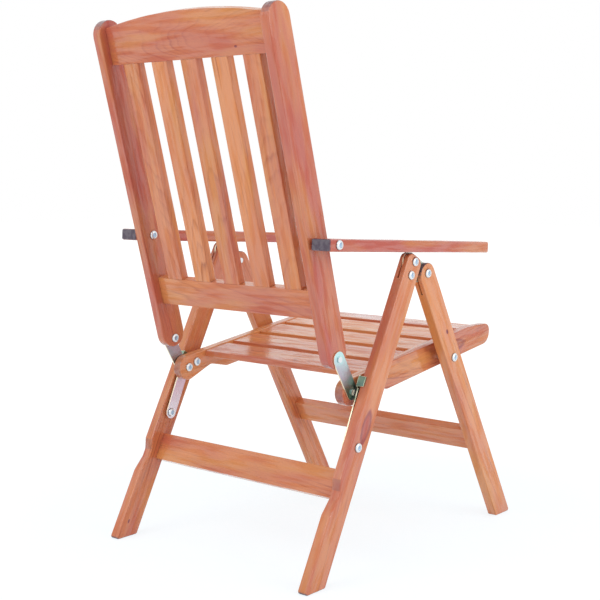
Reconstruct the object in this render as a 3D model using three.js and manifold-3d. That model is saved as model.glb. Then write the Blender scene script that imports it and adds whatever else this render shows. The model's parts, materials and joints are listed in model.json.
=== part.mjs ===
import * as THREE from 'three';
import * as BufferGeometryUtils from 'three/addons/utils/BufferGeometryUtils.js';
import Module from 'manifold-3d';

// A folding slatted armchair: crossed legs under two flat arms, a seat of five slats and a high back.
// Millimetres. +X is the sitter's left, -Y the front, +Z up. Angles are in degrees from the vertical.

const wasm = await Module();
wasm.setup();

// Fits, the least step between two points of an outline, and how far a cut runs past a face
const gap = 0.3;
const boltPlay = 0.3;
const leastStep = 0.02;
const overrun = 5;

// Places across the chair: the outer faces of the posts and seat rails, and the legs beside them
const sideFrameOuter = 237.4;
const sideFrameThick = 21.2;
const legBeside = 15.6;
const legThick = 22.3;
const armWide = 46.5;

// Legs
const rearFootY = 369.8;
const rearLegLean = 27.6;
const rearLegDepth = 49.4;
const rearLegLength = 706.5;
const rearLegFlare = 3;
const rearLegTopRound = 15;
const legPivotBelowTop = 15.5;
const legPivotAhead = 28.4;
const frontLegLean = 28.6;
const frontLegDepth = 51;
const frontLegPastPivot = 21;
const footRound = 5;
const notch = { low: 153, foot: 188, knee: 204, high: 226, deep: 9.5, round: 5 };

// Top plates that join the legs
const plateThick = 3;
const topPlate = { noseBelowTop: 13.9, noseAcross: 14.5, noseRound: 18, pivotRound: 18, heelRound: 16 };
const plateBoltBelowTop = 13.1;
const plateBoltPitch = 29.8;
const rearKerfLength = 60;
const kerfWide = 3.8;
const frontKerf = { bladeRound: 46.5, rise: 8 };

// Seat
const seatPivotBelowLegPivot = 213.5;
const seatSlope = 7.8;
const seatRail = { depth: 53.8, pivotAlong: 338.5, pivotDown: 33.3, levelLength: 87, length: 548 };
const seatEnd = { round: 26.8, frontTopRound: 15, frontLowRound: 27 };
const seatScoop = { start: 30, crest: 97, end: 146, high: 17.5 };
const seatScoopRound = { rear: 5, crest: 20, front: 12 };
const rearBolt = { along: 27, down: 25.6 };
const spacerBolt = { along: 52.5, down: 19.5 };
const seatSlat = { count: 5, gapWide: 18.5, thick: 14, sunk: 1.5, round: 4 };
const seatMargin = { rear: 82, front: 27 };

// Link bars
const linkPivotBelowTop = 410.2;
const linkPivotAcross = 20.1;
const linkBar = { wide: 27, beside: 8.6, thick: 3 };
const linkTab = { belowBolt: 5.8, aboveBolt: 15.2, reach: 14 };

// Hinge plates
const hingePlate = { centres: 81, lean: 30.6, wide: 32 };

// Back
const backLean = 14.8;
const post = { depth: 60, length: 707, rivetAlong: 18.2 };
const crest = { topMargin: 15, high: 74.5, rise: 19 };
const lowRail = { low: 103, high: 161 };
const backRail = { near: 18, thick: 21 };
const backSlat = { count: 5, wide: 43, thick: 19, fromPost: 30.9 };

// Arms
const armSlope = 3.4;
const arm = { length: 553, thick: 24.1, behindPivot: 26.5, pivotDown: 11.2, endRound: 4, bite: 2 };
const armGroove = { from: 190, to: 425, wide: 7, deep: 5 };
const armHollow = { from: 248, pitch: 41, count: 5, round: 7, deep: 9 };

// Stretchers
const rearStretcher = { belowLink: 47.1, wide: 57.7, near: 28, thick: 20.7 };
const frontStretcher = { low: 201.4, high: 253.3, near: 8.7, thick: 21 };

// Tenons on the rails, let into the posts and legs
const tenon = { long: 14, shoulder: 6, round: 2 };

// Fasteners
const shankRound = 3;
const domeHead = { round: 9.3, high: 4.2 };
const domeShares = [0, 0.36, 0.7, 0.92, 1];
const flatHead = { round: 6, high: 2.4 };
const washerRound = 9;
const spacerRound = 8;
const barrelNut = { round: 6, thick: 2.8 };
const roundSides = 12;
const arcStep = 15;

// Finishes
const wood = new THREE.Color(0xb8683a);
const zinc = new THREE.Color(0xc9ced2);

function woodMaterial() {
  return new THREE.MeshStandardMaterial({ color: wood, roughness: 0.38, metalness: 0 });
}

function zincMaterial() {
  return new THREE.MeshStandardMaterial({ color: zinc, roughness: 0.3, metalness: 1 });
}

// Frames: a board's own directions, along its length and across its depth, drawn in the side view

function boardFrame(origin, angle, side) {
  const turn = THREE.MathUtils.degToRad(angle);
  const sine = Math.sin(turn);
  const cosine = Math.cos(turn);
  return (along, across) => ({
    y: origin.y + sine * along + side * cosine * across,
    z: origin.z + cosine * along - side * sine * across,
  });
}

function frameThrough(point, along, across, angle, side) {
  const reach = boardFrame({ y: 0, z: 0 }, angle, side)(along, across);
  return boardFrame({ y: point.y - reach.y, z: point.z - reach.z }, angle, side);
}

function rounded(point, round = 0) {
  return { y: point.y, z: point.z, round };
}

function unit(from, to) {
  return new THREE.Vector2(to.y - from.y, to.z - from.z).normalize();
}

// The points of one corner: the corner itself, or an arc that touches both its edges
function cornerPoints(before, corner, after) {
  const place = new THREE.Vector2(corner.y, corner.z);
  if (corner.round === 0) {
    return [place];
  }
  const back = unit(corner, before);
  const ahead = unit(corner, after);
  const half = Math.acos(THREE.MathUtils.clamp(back.dot(ahead), -1, 1)) / 2;
  const inward = back.clone().add(ahead).normalize();
  const centre = place.clone().addScaledVector(inward, corner.round / Math.sin(half));
  const touch = corner.round / Math.tan(half);
  const first = place.clone().addScaledVector(back, touch).sub(centre);
  const last = place.clone().addScaledVector(ahead, touch).sub(centre);
  const sweep = Math.atan2(first.cross(last), first.dot(last));
  const steps = Math.max(1, Math.round(Math.abs(THREE.MathUtils.radToDeg(sweep)) / arcStep));
  const points = [];
  for (let step = 0; step <= steps; step += 1) {
    points.push(first.clone().rotateAround(new THREE.Vector2(), (sweep * step) / steps).add(centre));
  }
  return points;
}

function outline(corners) {
  const points = [];
  corners.forEach((corner, index) => {
    const before = corners[(index + corners.length - 1) % corners.length];
    const after = corners[(index + 1) % corners.length];
    points.push(...cornerPoints(before, corner, after));
  });
  return points.filter((point, index) => {
    const next = points[(index + 1) % points.length];
    return point.distanceTo(next) > leastStep;
  });
}

function circle(centre, round, sides = roundSides) {
  const points = [];
  for (let side = 0; side < sides; side += 1) {
    const turn = (2 * Math.PI * side) / sides;
    points.push(new THREE.Vector2(centre.y + round * Math.cos(turn), centre.z + round * Math.sin(turn)));
  }
  return points;
}

// The outline that a string would make if drawn tight round several circles
function tightRound(circles) {
  const points = circles.flatMap((one) => circle(one, one.round, 2 * roundSides));
  points.sort((a, b) => a.x - b.x || a.y - b.y);
  const chain = (list) => {
    const kept = [];
    list.forEach((point) => {
      while (kept.length > 1 && turnOf(kept[kept.length - 2], kept[kept.length - 1], point) <= 0) {
        kept.pop();
      }
      kept.push(point);
    });
    kept.pop();
    return kept;
  };
  return [...chain(points), ...chain([...points].reverse())];
}

function turnOf(a, b, c) {
  return (b.x - a.x) * (c.y - a.y) - (b.y - a.y) * (c.x - a.x);
}

// Solids

function extruded(points, holes, thick) {
  const shape = new THREE.Shape(points);
  holes.forEach((hole) => shape.holes.push(new THREE.Path(hole)));
  return new THREE.ExtrudeGeometry(shape, { depth: thick, bevelEnabled: false, steps: 1 });
}

// A side view extruded across the chair, from one place out from the middle to another
function slab(points, holes, inner, outer) {
  const basis = new THREE.Matrix4().makeBasis(
    new THREE.Vector3(0, 1, 0),
    new THREE.Vector3(0, 0, 1),
    new THREE.Vector3(1, 0, 0),
  );
  return extruded(points, holes, outer - inner).applyMatrix4(basis).translate(inner, 0, 0);
}

function solidOf(geometry) {
  const bare = geometry.index ? geometry.toNonIndexed() : geometry.clone();
  bare.deleteAttribute('normal');
  bare.deleteAttribute('uv');
  const merged = BufferGeometryUtils.mergeVertices(bare);
  return new wasm.Manifold(new wasm.Mesh({
    numProp: 3,
    vertProperties: new Float32Array(merged.attributes.position.array),
    triVerts: new Uint32Array(merged.index.array),
  }));
}

function geometryOf(solid) {
  const mesh = solid.getMesh();
  const geometry = new THREE.BufferGeometry();
  geometry.setAttribute('position', new THREE.BufferAttribute(mesh.vertProperties, 3));
  geometry.setIndex(new THREE.BufferAttribute(mesh.triVerts, 1));
  return geometry;
}

function cut(geometry, tools) {
  return geometryOf(tools.reduce((solid, tool) => solid.subtract(solidOf(tool)), solidOf(geometry)));
}

function joined(geometry, others) {
  return geometryOf(others.reduce((solid, other) => solid.add(solidOf(other)), solidOf(geometry)));
}

function mirrored(geometry) {
  const copy = (geometry.index ? geometry.toNonIndexed() : geometry.clone()).scale(-1, 1, 1);
  const position = copy.attributes.position;
  for (let index = 0; index < position.count; index += 3) {
    const second = new THREE.Vector3().fromBufferAttribute(position, index + 1);
    const third = new THREE.Vector3().fromBufferAttribute(position, index + 2);
    position.setXYZ(index + 1, third.x, third.y, third.z);
    position.setXYZ(index + 2, second.x, second.y, second.z);
  }
  copy.deleteAttribute('normal');
  copy.deleteAttribute('uv');
  return copy;
}

const chair = new THREE.Group();

function add(name, geometry, material) {
  const mesh = new THREE.Mesh(geometry, material);
  mesh.name = name;
  chair.add(mesh);
}

function addPair(name, geometry, material) {
  add(`${name}_left`, geometry, material());
  add(`${name}_right`, mirrored(geometry), material());
}

// A turned piece on an axle across the chair: each row is a place out from the middle and a radius
function turned(rows, centre) {
  const profile = rows.map(([place, round]) => new THREE.Vector2(round, place));
  const basis = new THREE.Matrix4().makeBasis(
    new THREE.Vector3(0, 1, 0),
    new THREE.Vector3(1, 0, 0),
    new THREE.Vector3(0, 0, -1),
  );
  return new THREE.LatheGeometry(profile, roundSides).applyMatrix4(basis).translate(0, centre.y, centre.z);
}

function domeRows(face, out) {
  return domeShares.map((share) => [
    face + out * domeHead.high * Math.sqrt(1 - share * share),
    domeHead.round * share,
  ]);
}

// A bolt with its domed head on one face and its shank running to `end`
function domeBolt(face, end, centre) {
  const out = Math.sign(face - end);
  const rows = [...domeRows(face, out), [face, shankRound], [end, shankRound], [end, 0]];
  return turned(out > 0 ? rows.reverse() : rows, centre);
}

// A rivet with a domed head on one face and a flat head on the other
function rivet(face, flatFace, centre) {
  const out = Math.sign(face - flatFace);
  const flatEnd = flatFace - out * flatHead.high;
  const rows = [
    ...domeRows(face, out),
    [face, shankRound],
    [flatFace, shankRound],
    [flatFace, flatHead.round],
    [flatEnd, flatHead.round],
    [flatEnd, 0],
  ];
  return turned(out > 0 ? rows.reverse() : rows, centre);
}

// A bolt with a domed head on one face and a domed nut on the other
function throughBolt(face, nutFace, centre) {
  const out = Math.sign(face - nutFace);
  const rows = [
    ...domeRows(face, out),
    [face, shankRound],
    [nutFace, shankRound],
    ...domeRows(nutFace, -out).reverse(),
  ];
  return turned(out > 0 ? rows.reverse() : rows, centre);
}

function ring(inner, outer, round, centre) {
  return slab(circle(centre, round), [boltHole(centre)], inner, outer);
}

function boltHole(centre) {
  return circle(centre, shankRound + boltPlay);
}

// Frames and pivots that more than one piece uses

const legInner = sideFrameOuter + legBeside;
const legOuter = legInner + legThick;
const legMiddle = legInner + legThick / 2;
const sideFrameInner = sideFrameOuter - sideFrameThick;
const linkInner = sideFrameOuter + linkBar.beside;
const linkOuter = linkInner + linkBar.thick;
const hingeInner = sideFrameOuter + gap;
const hingeOuter = hingeInner + plateThick;
const armInner = hingeOuter + gap;
const armOuter = armInner + armWide;

const rearLeg = boardFrame({ y: rearFootY, z: 0 }, -rearLegLean, -1);
const legPivot = rearLeg(rearLegLength - legPivotBelowTop, rearLegDepth + legPivotAhead);
const frontLegPivot = pivotLength(legPivot.z, frontLegLean, frontLegDepth / 2);
const frontLeg = frameThrough(legPivot, frontLegPivot, frontLegDepth / 2, frontLegLean, 1);
const upperBoltAlong = rearLegLength - plateBoltBelowTop;
const upperBoltPlace = rearLeg(upperBoltAlong, rearLegDepth / 2);
const lowerBoltPlace = rearLeg(upperBoltAlong - plateBoltPitch, rearLegDepth / 2);
const nose = rearLeg(rearLegLength - topPlate.noseBelowTop, topPlate.noseAcross);
const seatPivot = frontLeg(frontLegPivot - seatPivotBelowLegPivot, frontLegDepth / 2);
const linkPivotAlong = rearLegLength - linkPivotBelowTop;
const linkPivot = rearLeg(linkPivotAlong, linkPivotAcross);
const seatAngle = seatSlope - 90;
const seat = frameThrough(seatPivot, seatRail.pivotAlong, seatRail.pivotDown, seatAngle, -1);
const rearBoltPlace = seat(rearBolt.along, rearBolt.down);
const spacerBoltPlace = seat(spacerBolt.along, spacerBolt.down);
const spacerAlongLeg = alongBoard(rearLeg, spacerBoltPlace);
const rivetPlace = boardFrame(rearBoltPlace, hingePlate.lean, -1)(hingePlate.centres, 0);
const back = frameThrough(rivetPlace, post.rivetAlong, post.depth / 2, backLean, -1);
const armAngle = -90 - armSlope;
const armPivot = armPivotPlace();
const armFrame = frameThrough(armPivot, arm.behindPivot, arm.pivotDown, armAngle, -1);
const crestLow = post.length - crest.topMargin - crest.high;
const crestEnd = crestLow + crest.high;
const crestBoard = { low: crestLow, high: crestEnd, ...backRail };
const lowBoard = { ...lowRail, ...backRail };
const rearBoardHigh = linkPivotAlong - rearStretcher.belowLink;
const rearBoard = { ...rearStretcher, low: rearBoardHigh - rearStretcher.wide, high: rearBoardHigh };
const backSlatPitch = (2 * (sideFrameInner - backSlat.fromPost) - backSlat.wide) / (backSlat.count - 1);
const seatSlatRun = seatRail.length - seatMargin.rear - seatMargin.front;
const seatSlatWide = (seatSlatRun + seatSlat.gapWide) / seatSlat.count - seatSlat.gapWide;

// How far along a board a place lies
function alongBoard(frame, place) {
  const start = frame(0, 0);
  const end = frame(1, 0);
  return (place.y - start.y) * (end.y - start.y) + (place.z - start.z) * (end.z - start.z);
}

// How far up its board a pivot lies when it is `high` above the floor that the foot is cut to
function pivotLength(high, lean, across) {
  const turn = THREE.MathUtils.degToRad(lean);
  return (high + across * Math.sin(turn)) / Math.cos(turn);
}

// Each arm lies on the nose of the top plate, which bites a little way into its groove, so its pivot
// is where the arm's line crosses the middle of the post
function armPivotPlace() {
  const down = boardFrame({ y: 0, z: 0 }, armAngle, -1)(0, 1);
  const below = (point) => (point.y - nose.y) * down.y + (point.z - nose.z) * down.z;
  const start = back(0, post.depth / 2);
  const end = back(post.length, post.depth / 2);
  const wanted = -(arm.thick - arm.pivotDown + topPlate.noseRound - arm.bite);
  const share = (wanted - below(start)) / (below(end) - below(start));
  return back(share * post.length, post.depth / 2);
}

// Legs

// A place on the back edge of the rear leg, or so deep inside it: the leg widens a little to its foot
function rearEdge(along, deep = 0) {
  return rearLeg(along, deep - rearLegFlare * (1 - along / rearLegLength));
}

function rearLegOutline() {
  const rise = Math.tan(THREE.MathUtils.degToRad(rearLegLean));
  return outline([
    rounded(rearLeg(-rearLegFlare * rise, -rearLegFlare), footRound),
    rounded(rearLeg(rearLegDepth * rise, rearLegDepth), footRound),
    rounded(rearLeg(rearLegLength, rearLegDepth), rearLegTopRound),
    rounded(rearLeg(rearLegLength, 0), rearLegTopRound),
    rounded(rearEdge(notch.high), notch.round),
    rounded(rearEdge(notch.knee, notch.deep), notch.round),
    rounded(rearEdge(notch.foot, notch.deep), notch.round),
    rounded(rearEdge(notch.low), notch.round),
  ]);
}

function frontLegOutline() {
  const footRise = frontLegDepth * Math.tan(THREE.MathUtils.degToRad(frontLegLean));
  const length = frontLegPivot + frontLegPastPivot;
  return outline([
    rounded(frontLeg(0, 0), footRound),
    rounded(frontLeg(length, 0), frontLegDepth / 2),
    rounded(frontLeg(length, frontLegDepth), frontLegDepth / 2),
    rounded(frontLeg(footRise, frontLegDepth), footRound),
  ]);
}

// A tenon's section, and the mortise that takes it with a little room all round. A board between the
// posts or legs is given by its `low` and `high` edges along them and its `near` face and thickness.
function tenonOutline(frame, board, room) {
  const shoulder = tenon.shoulder - room;
  const low = board.low + shoulder;
  const high = board.high - shoulder;
  const near = board.near + shoulder;
  const far = board.near + board.thick - shoulder;
  return outline([
    rounded(frame(low, near), tenon.round),
    rounded(frame(high, near), tenon.round),
    rounded(frame(high, far), tenon.round),
    rounded(frame(low, far), tenon.round),
  ]);
}

function mortise(frame, board, face) {
  const section = tenonOutline(frame, board, gap);
  return slab(section, [], face - overrun, face + tenon.long + gap);
}

function tenonBar(frame, board, face) {
  const reach = face + tenon.long;
  return slab(tenonOutline(frame, board, 0), [], -reach, reach);
}

function rail(frame, board, face) {
  const far = board.near + board.thick;
  const section = outline([
    rounded(frame(board.low, board.near)),
    rounded(frame(board.high, board.near)),
    rounded(frame(board.high, far)),
    rounded(frame(board.low, far)),
  ]);
  const half = face - gap;
  return joined(slab(section, [], -half, half), [tenonBar(frame, board, face)]);
}

function addRearLegs() {
  const kerfStart = rearLegLength - rearKerfLength;
  const kerf = outline([
    rounded(rearLeg(kerfStart, -overrun)),
    rounded(rearLeg(rearLegLength + overrun, -overrun)),
    rounded(rearLeg(rearLegLength + overrun, rearLegDepth + overrun)),
    rounded(rearLeg(kerfStart, rearLegDepth + overrun)),
  ]);
  const holes = [upperBoltPlace, lowerBoltPlace, linkPivot].map(boltHole);
  addPair('rear_leg', cut(slab(rearLegOutline(), holes, legInner, legOuter), [
    slab(kerf, [], legMiddle - kerfWide / 2, legMiddle + kerfWide / 2),
    mortise(rearLeg, rearBoard, legInner),
  ]), woodMaterial);
  add('rear_stretcher', rail(rearLeg, rearBoard, legInner), woodMaterial());
}

function addFrontLegs() {
  const blade = frontLeg(frontLegPivot + frontKerf.rise, frontLegDepth);
  const kerf = circle(blade, frontKerf.bladeRound, 3 * roundSides);
  const holes = [legPivot, seatPivot].map(boltHole);
  addPair('front_leg', cut(slab(frontLegOutline(), holes, legInner, legOuter), [
    slab(kerf, [], legMiddle - kerfWide / 2, legMiddle + kerfWide / 2),
    mortise(frontLeg, frontStretcher, legInner),
  ]), woodMaterial);
  add('front_stretcher', rail(frontLeg, frontStretcher, legInner), woodMaterial());
}

// Top plates and their bolts

function addTopPlates() {
  const shape = tightRound([
    { ...nose, round: topPlate.noseRound },
    { ...lowerBoltPlace, round: topPlate.heelRound },
    { ...legPivot, round: topPlate.pivotRound },
  ]);
  const holes = [upperBoltPlace, lowerBoltPlace, legPivot].map(boltHole);
  const inner = legMiddle - plateThick / 2;
  addPair('top_plate', slab(shape, holes, inner, inner + plateThick), zincMaterial);
  const outerFace = legOuter + gap;
  const innerFace = legInner - gap;
  addPair('top_plate_bolt_upper', rivet(outerFace, innerFace, upperBoltPlace), zincMaterial);
  addPair('top_plate_bolt_lower', rivet(outerFace, innerFace, lowerBoltPlace), zincMaterial);
  addPair('leg_pivot_bolt', rivet(outerFace, innerFace, legPivot), zincMaterial);
}

// Seat

function seatRailOutline() {
  const turnDown = THREE.MathUtils.degToRad(seatSlope);
  const frontTop = seatRail.levelLength * Math.tan(turnDown);
  const frontLow = seatRail.length - (seatRail.depth - frontTop) * Math.tan(turnDown);
  return outline([
    rounded(seat(0, 0), seatEnd.round),
    rounded(seat(seatRail.length - seatRail.levelLength, 0)),
    rounded(seat(seatRail.length, frontTop), seatEnd.frontTopRound),
    rounded(seat(frontLow, seatRail.depth), seatEnd.frontLowRound),
    rounded(seat(seatScoop.end, seatRail.depth), seatScoopRound.front),
    rounded(seat(seatScoop.crest, seatRail.depth - seatScoop.high), seatScoopRound.crest),
    rounded(seat(seatScoop.start, seatRail.depth), seatScoopRound.rear),
    rounded(seat(0, seatRail.depth), seatEnd.round),
  ]);
}

function seatSlatOutline(index) {
  const start = seat(seatMargin.rear + index * (seatSlatWide + seatSlat.gapWide), seatSlat.sunk);
  // The front slat lies level with the rounded-off front of the rails
  const front = index === seatSlat.count - 1;
  const slat = boardFrame(start, front ? -90 : seatAngle, -1);
  return outline([
    rounded(slat(0, 0), seatSlat.round),
    rounded(slat(seatSlatWide, 0), seatSlat.round),
    rounded(slat(seatSlatWide, seatSlat.thick), front ? seatSlat.round : 0),
    rounded(slat(0, seatSlat.thick)),
  ]);
}

function addSeat() {
  const holes = [rearBoltPlace, spacerBoltPlace].map(boltHole);
  addPair('seat_rail', slab(seatRailOutline(), holes, sideFrameInner, sideFrameOuter), woodMaterial);
  const half = sideFrameInner - gap;
  for (let index = 0; index < seatSlat.count; index += 1) {
    add(`seat_slat_${index + 1}`, slab(seatSlatOutline(index), [], -half, half), woodMaterial());
  }
}

function addSeatBolts() {
  const head = sideFrameInner - gap;
  const nutStart = linkOuter + gap;
  const nutEnd = nutStart + barrelNut.thick;
  const railFace = sideFrameOuter + gap;
  addPair('hinge_rivet', rivet(head, hingeOuter + gap, rearBoltPlace), zincMaterial);
  addPair('spacer_bolt', domeBolt(head, nutEnd, spacerBoltPlace), zincMaterial);
  addPair('spacer', ring(railFace, linkInner - gap, spacerRound, spacerBoltPlace), zincMaterial);
  addPair('spacer_nut', ring(nutStart, nutEnd, barrelNut.round, spacerBoltPlace), zincMaterial);
  addPair('seat_pivot_bolt', domeBolt(legOuter + gap, railFace + gap, seatPivot), zincMaterial);
  addPair('seat_pivot_washer', ring(railFace + gap, legInner - gap, washerRound, seatPivot), zincMaterial);
}

// Link bars, with a tab bent outwards at the top that stops against the back edge of the rear leg

function addLinkBars() {
  const half = linkBar.wide / 2;
  const strapHoles = [linkPivot, spacerBoltPlace].map(boltHole);
  const ends = [{ ...linkPivot, round: half }, { ...spacerBoltPlace, round: half }];
  const strap = slab(tightRound(ends), strapHoles, linkInner, linkOuter);
  const low = spacerAlongLeg - linkTab.belowBolt;
  const high = spacerAlongLeg + linkTab.aboveBolt;
  const flange = outline([
    rounded(rearEdge(low, -gap)),
    rounded(rearEdge(high, -gap)),
    rounded(rearEdge(high, -gap - plateThick)),
    rounded(rearEdge(low, -gap - plateThick)),
  ]);
  const tab = slab(flange, [], linkInner, linkOuter + linkTab.reach);
  const edge = [low, high].map((along) => ({
    ...rearEdge(along, -gap - plateThick / 2),
    round: plateThick / 2,
  }));
  const neck = tightRound([...edge, { ...spacerBoltPlace, round: half }]);
  const wing = slab(neck, [boltHole(spacerBoltPlace)], linkInner, linkOuter);
  addPair('link_bar', joined(strap, [wing, tab]), zincMaterial);
  addPair('link_washer', ring(linkOuter + gap, legInner - gap, washerRound, linkPivot), zincMaterial);
  addPair('link_bolt', throughBolt(legOuter + gap, linkInner - gap, linkPivot), zincMaterial);
}

// Hinge plates between the seat rails and the posts

function addHingePlates() {
  const half = hingePlate.wide / 2;
  const shape = tightRound([{ ...rearBoltPlace, round: half }, { ...rivetPlace, round: half }]);
  const holes = [boltHole(rearBoltPlace), boltHole(rivetPlace)];
  addPair('hinge_plate', slab(shape, holes, hingeInner, hingeOuter), zincMaterial);
  addPair('post_rivet', rivet(sideFrameInner - gap, hingeOuter + gap, rivetPlace), zincMaterial);
}

// Back

function addPosts() {
  const shape = outline([
    rounded(back(0, 0), post.depth / 2),
    rounded(back(post.length, 0), post.depth / 2),
    rounded(back(post.length, post.depth), post.depth / 2),
    rounded(back(0, post.depth), post.depth / 2),
  ]);
  const holes = [boltHole(rivetPlace), boltHole(armPivot)];
  addPair('back_post', cut(slab(shape, holes, sideFrameInner, sideFrameOuter), [
    mortise(back, crestBoard, sideFrameInner),
    mortise(back, lowBoard, sideFrameInner),
  ]), woodMaterial);
}

// A board drawn as seen from behind, lying in the plane of the back: `low` to `high` along the posts
function backBoard(points, thick) {
  const origin = back(0, backRail.near);
  const up = unit(back(0, 0), back(post.length, 0));
  const basis = new THREE.Matrix4().makeBasis(
    new THREE.Vector3(1, 0, 0),
    new THREE.Vector3(0, up.x, up.y),
    new THREE.Vector3(0, -up.y, up.x),
  );
  return extruded(points, [], thick).applyMatrix4(basis).translate(0, origin.y, origin.z);
}

function crestPoints() {
  const half = sideFrameInner - gap;
  const round = (half * half + crest.rise * crest.rise) / (2 * crest.rise);
  const sweep = Math.asin(half / round);
  const points = [new THREE.Vector2(-half, crestLow), new THREE.Vector2(half, crestLow)];
  const steps = 2 * roundSides;
  const centre = crestEnd + crest.rise - round;
  for (let step = 0; step <= steps; step += 1) {
    const turn = sweep * (1 - (2 * step) / steps);
    points.push(new THREE.Vector2(round * Math.sin(turn), centre + round * Math.cos(turn)));
  }
  return points;
}

function addBack() {
  addPosts();
  const crestBody = backBoard(crestPoints(), backRail.thick);
  const crestTenon = tenonBar(back, crestBoard, sideFrameInner);
  add('crest_rail', joined(crestBody, [crestTenon]), woodMaterial());
  add('lower_back_rail', rail(back, lowBoard, sideFrameInner), woodMaterial());
  const middle = (backSlat.count - 1) / 2;
  for (let index = 0; index < backSlat.count; index += 1) {
    const centre = (index - middle) * backSlatPitch;
    const near = centre - backSlat.wide / 2;
    const far = centre + backSlat.wide / 2;
    const points = [
      new THREE.Vector2(near, lowRail.high + gap),
      new THREE.Vector2(far, lowRail.high + gap),
      new THREE.Vector2(far, crestLow - gap),
      new THREE.Vector2(near, crestLow - gap),
    ];
    add(`back_slat_${index + 1}`, backBoard(points, backSlat.thick), woodMaterial());
  }
}

// Arms

function armOutline() {
  return outline([
    rounded(armFrame(0, 0), arm.endRound),
    rounded(armFrame(arm.length, 0), arm.endRound),
    rounded(armFrame(arm.length, arm.thick), arm.endRound),
    rounded(armFrame(0, arm.thick), arm.endRound),
  ]);
}

function armGrooveOutline() {
  const roof = arm.thick - armGroove.deep;
  const low = arm.thick + overrun;
  return outline([
    rounded(armFrame(arm.behindPivot + armGroove.from, low)),
    rounded(armFrame(arm.behindPivot + armGroove.from, roof)),
    rounded(armFrame(arm.behindPivot + armGroove.to, roof)),
    rounded(armFrame(arm.behindPivot + armGroove.to, low)),
  ]);
}

function armCuts() {
  const near = legMiddle - armGroove.wide / 2;
  const far = legMiddle + armGroove.wide / 2;
  const cuts = [
    slab(armGrooveOutline(), [], near, far),
    slab(boltHole(armPivot), [], armInner - overrun, armOuter + overrun),
  ];
  for (let index = 0; index < armHollow.count; index += 1) {
    const along = arm.behindPivot + armHollow.from + index * armHollow.pitch;
    const centre = armFrame(along, arm.thick - armHollow.deep + armHollow.round);
    cuts.push(slab(circle(centre, armHollow.round), [], near, far));
  }
  return cuts;
}

function addArms() {
  addPair('armrest', cut(slab(armOutline(), [], armInner, armOuter), armCuts()), woodMaterial);
  addPair('arm_bolt', throughBolt(sideFrameInner - gap, armOuter + gap, armPivot), zincMaterial);
  addPair('arm_washer', ring(hingeInner, hingeOuter, washerRound, armPivot), zincMaterial);
}

addRearLegs();
addFrontLegs();
addTopPlates();
addSeat();
addSeatBolts();
addLinkBars();
addHingePlates();
addBack();
addArms();

// The origin lies on the floor, midway between the front of the feet and the back of the posts
const box = new THREE.Box3().setFromObject(chair);
chair.position.y = -(box.min.y + box.max.y) / 2;

export default chair;
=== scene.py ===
import json
import math
import random
from collections import namedtuple
from functools import partial

import bmesh
import bpy
import numpy
from bpy.props import FloatProperty, FloatVectorProperty, IntProperty, PointerProperty
from mathutils import Matrix, Vector

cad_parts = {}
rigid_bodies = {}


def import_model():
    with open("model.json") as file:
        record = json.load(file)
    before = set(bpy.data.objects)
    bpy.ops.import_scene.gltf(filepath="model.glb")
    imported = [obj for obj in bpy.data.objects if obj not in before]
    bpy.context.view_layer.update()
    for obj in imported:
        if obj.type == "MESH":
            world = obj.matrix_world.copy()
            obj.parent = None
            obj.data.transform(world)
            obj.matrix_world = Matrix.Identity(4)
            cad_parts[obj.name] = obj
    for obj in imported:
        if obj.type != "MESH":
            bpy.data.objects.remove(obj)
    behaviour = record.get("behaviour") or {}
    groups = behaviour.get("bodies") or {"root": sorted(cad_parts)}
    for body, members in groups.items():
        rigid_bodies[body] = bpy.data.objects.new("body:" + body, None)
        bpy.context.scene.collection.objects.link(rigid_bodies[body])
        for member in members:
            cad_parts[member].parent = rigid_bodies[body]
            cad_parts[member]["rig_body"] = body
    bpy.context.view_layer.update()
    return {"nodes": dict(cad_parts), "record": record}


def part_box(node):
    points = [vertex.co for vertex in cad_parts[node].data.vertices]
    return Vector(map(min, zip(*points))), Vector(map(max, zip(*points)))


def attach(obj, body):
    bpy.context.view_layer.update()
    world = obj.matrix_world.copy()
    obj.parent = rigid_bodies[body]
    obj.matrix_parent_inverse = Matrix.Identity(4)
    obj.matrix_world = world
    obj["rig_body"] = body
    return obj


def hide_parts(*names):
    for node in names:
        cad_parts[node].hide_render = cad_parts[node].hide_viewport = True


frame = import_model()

bl_info = {
    "name": "Folding slatted armchair",
    "version": (1, 0),
    "blender": (4, 5, 0),
    "location": "3D View > Sidebar > Armchair",
    "description": "Dresses a folding slatted armchair in stained, varnished pine and zinc-plated steel",
    "category": "Object",
}

SIDES = ("left", "right")
# The body that each solid rides on
BODY_OF = {name: made["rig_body"] for name, made in frame["nodes"].items()}

# The direction across the chair, to its left
SIDEWAYS = Vector((1.0, 0.0, 0.0))

# Points closer than this are one point, and an edge sharper than this angle is an arris
MERGE_REACH = 1e-5
ARRIS_ANGLE = math.radians(40)
# Two faces that meet below the first of these angles are one, and below the second are shaded as one
FLAT_ANGLE = math.radians(1)
SMOOTH_ANGLE = math.radians(32)


# Small helpers

def linear(code):
    """Turns an sRGB hex colour into the linear colour that shaders take."""
    channels = [int(code[place:place + 2], 16) / 255 for place in (0, 2, 4)]
    curve = [c / 12.92 if c <= 0.04045 else ((c + 0.055) / 1.055) ** 2.4 for c in channels]
    return (*curve, 1.0)


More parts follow.
